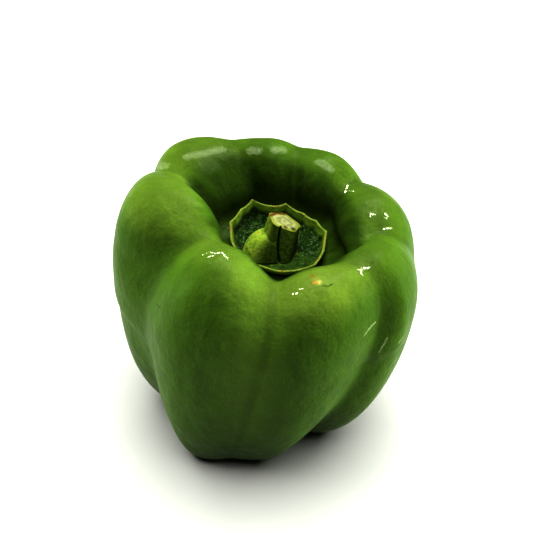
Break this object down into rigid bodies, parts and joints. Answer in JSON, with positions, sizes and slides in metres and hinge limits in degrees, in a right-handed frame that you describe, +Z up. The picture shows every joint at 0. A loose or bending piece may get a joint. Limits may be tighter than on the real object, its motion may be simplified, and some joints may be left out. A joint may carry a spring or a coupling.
{
  "type": "bell pepper",
  "caption": "Green bell pepper standing upright on its lobed base, with a deep well at the top holding a cupped calyx and a short cut stem.",
  "frame": {"origin": "middle of the footprint, on the surface that the pepper stands on", "axes": "+Z up towards the stem, -Y towards the pictured front, +X to the right of that front"},
  "size_m": [0.0918, 0.088, 0.083],
  "materials": {
    "skin": "smooth waxy green skin with a soft gloss",
    "calyx": "dark green leafy cup, bumpy inside, with a pale thin rim",
    "stem": "ribbed green stalk with a pale woody cut face"
  },
  "bodies": {
    "root": {"fruit": "skin", "calyx": "calyx", "stem": "stem"}
  },
  "joints": []
}
